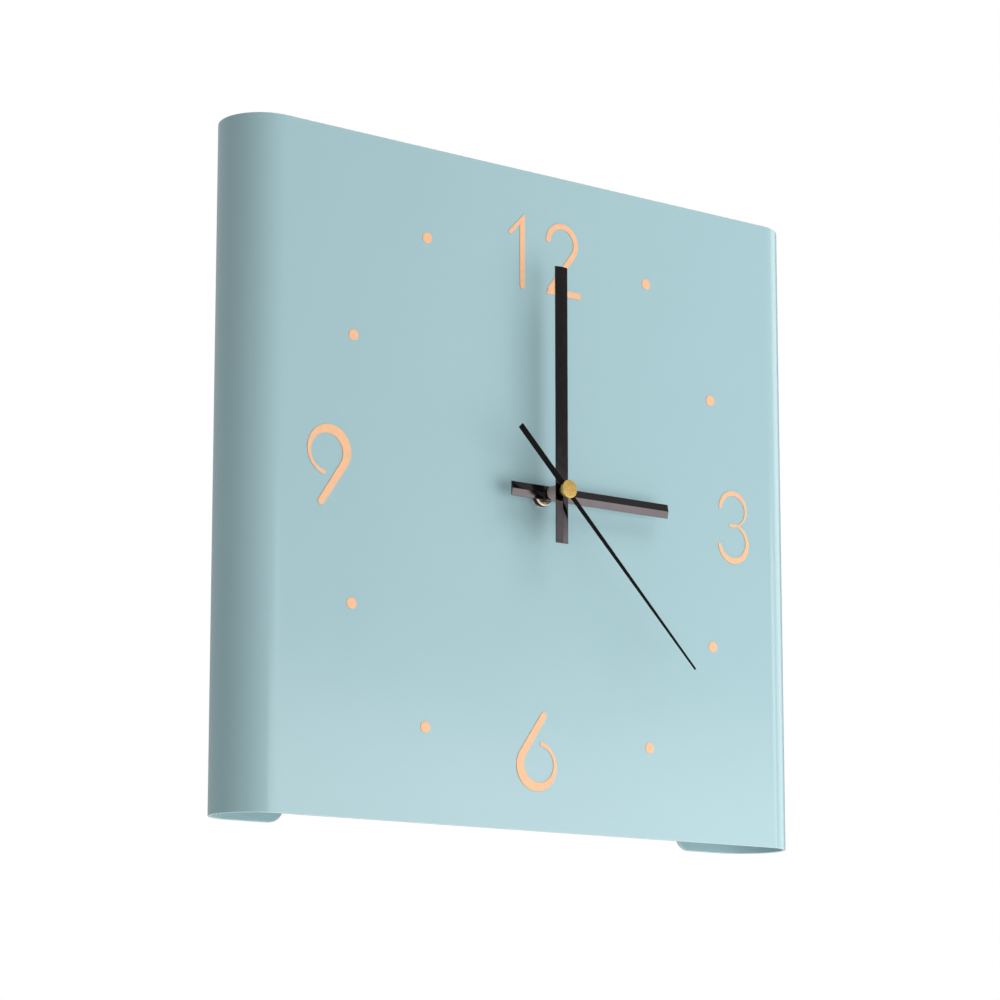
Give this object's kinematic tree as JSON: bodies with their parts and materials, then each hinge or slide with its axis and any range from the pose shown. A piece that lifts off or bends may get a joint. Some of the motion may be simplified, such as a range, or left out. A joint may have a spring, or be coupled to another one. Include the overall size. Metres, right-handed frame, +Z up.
{
  "type": "wall clock",
  "caption": "Square wall clock: one bent sheet panel with rolled side edges, raised numerals and dots, bar hands, a thin second hand and a battery quartz movement.",
  "frame": {"origin": "on the wall plane, midway between the centres of the two keyholes that the clock hangs on", "axes": "+X to the right seen from the front, +Y into the wall (the hands face -Y), +Z up"},
  "size_m": [0.312, 0.0603, 0.3],
  "materials": {
    "panel_paint": "satin",
    "mark_inlay": "satin",
    "hand_lacquer": "gloss",
    "brass_turned": "satin",
    "nickel_plate": "polished",
    "collet_steel": "brushed",
    "black_bush": "gloss",
    "case_plastic": "fine texture",
    "plate_plastic": "moulded",
    "gear_plastic": "moulded",
    "gasket_rubber": "matt",
    "arbor_steel": "ground",
    "magnet": "ground",
    "lamination_steel": "annealed",
    "copper_wire": "enamelled",
    "bobbin_plastic": "moulded",
    "board_laminate": "laminate",
    "crystal_can": "drawn",
    "chip_resin": "gloss",
    "contact_metal": "bright",
    "battery_wrap": "gloss"
  },
  "bodies": {
    "clock_body": {"front_panel": "panel_paint", "numeral_one": "mark_inlay", "numeral_two": "mark_inlay", "numeral_three": "mark_inlay", "numeral_six": "mark_inlay", "numeral_nine": "mark_inlay", "hour_dots": "mark_inlay", "threaded_bushing": "brass_turned", "rubber_gasket": "gasket_rubber", "dial_washer": "nickel_plate", "dial_nut": "nickel_plate", "movement_front_case": "case_plastic", "middle_plate": "plate_plastic", "movement_rear_cover": "case_plastic", "stator": "lamination_steel", "coil_core": "lamination_steel", "coil_bobbin": "bobbin_plastic", "coil_winding": "copper_wire", "circuit_board": "board_laminate", "quartz_crystal": "crystal_can", "chip_resin": "chip_resin", "battery_contact_negative": "contact_metal", "battery_contact_positive": "contact_metal", "battery": "battery_wrap"},
    "minute_arbor": {"cannon_pinion": "brass_turned", "minute_hand": "hand_lacquer", "minute_hand_bush": "collet_steel"},
    "hour_arbor": {"hour_wheel": "gear_plastic", "hour_hand": "hand_lacquer", "hour_hand_bush": "black_bush"},
    "motion_wheel": {"minute_wheel": "gear_plastic"},
    "setting_arbor": {"setting_stem": "gear_plastic", "setting_knob": "case_plastic"},
    "second_arbor_body": {"second_wheel": "gear_plastic", "second_arbor": "arbor_steel", "second_hand": "hand_lacquer", "second_hand_bush": "brass_turned", "second_hand_cap": "brass_turned"},
    "intermediate_body": {"intermediate_wheel": "gear_plastic"},
    "rotor": {"rotor_pinion": "gear_plastic", "rotor_magnet": "magnet"},
    "third_body": {"third_wheel": "gear_plastic"},
    "centre_body": {"centre_wheel": "gear_plastic"}
  },
  "joints": [
    {"name": "minute_hand_turn", "type": "hinge", "parent": "clock_body", "child": "minute_arbor", "pos_m": [0, 0, -0.115], "axis": [0, 1, 0], "continuous": true},
    {"name": "hour_hand_turn", "type": "hinge", "parent": "clock_body", "child": "hour_arbor", "pos_m": [0, 0, -0.115], "axis": [0, 1, 0], "continuous": true},
    {"name": "motion_wheel_turn", "type": "hinge", "parent": "clock_body", "child": "motion_wheel", "pos_m": [0.009, 0, -0.115], "axis": [0, 1, 0], "continuous": true},
    {"name": "setting_knob_turn", "type": "hinge", "parent": "clock_body", "child": "setting_arbor", "pos_m": [0.018, 0, -0.115], "axis": [0, 1, 0], "continuous": true},
    {"name": "second_hand_turn", "type": "hinge", "parent": "clock_body", "child": "second_arbor_body", "pos_m": [0, 0, -0.115], "axis": [0, 1, 0], "continuous": true},
    {"name": "intermediate_wheel_turn", "type": "hinge", "parent": "clock_body", "child": "intermediate_body", "pos_m": [0.0045, 0, -0.10721], "axis": [0, 1, 0], "continuous": true},
    {"name": "rotor_turn", "type": "hinge", "parent": "clock_body", "child": "rotor", "pos_m": [0.008, 0, -0.10114], "axis": [0, 1, 0], "continuous": true},
    {"name": "third_wheel_turn", "type": "hinge", "parent": "clock_body", "child": "third_body", "pos_m": [-0.00764, 0, -0.10736], "axis": [0, 1, 0], "continuous": true},
    {"name": "centre_wheel_turn", "type": "hinge", "parent": "clock_body", "child": "centre_body", "pos_m": [0, 0, -0.115], "axis": [0, 1, 0], "continuous": true}
  ],
  "couplings": [
    {"joint": "motion_wheel_turn", "follows": "minute_hand_turn", "ratio": -0.33333},
    {"joint": "hour_hand_turn", "follows": "minute_hand_turn", "ratio": 0.083333},
    {"joint": "setting_knob_turn", "follows": "minute_hand_turn", "ratio": 1},
    {"joint": "intermediate_wheel_turn", "follows": "second_hand_turn", "ratio": -5},
    {"joint": "rotor_turn", "follows": "second_hand_turn", "ratio": 30},
    {"joint": "third_wheel_turn", "follows": "second_hand_turn", "ratio": -0.13333},
    {"joint": "centre_wheel_turn", "follows": "second_hand_turn", "ratio": 0.016667}
  ]
}
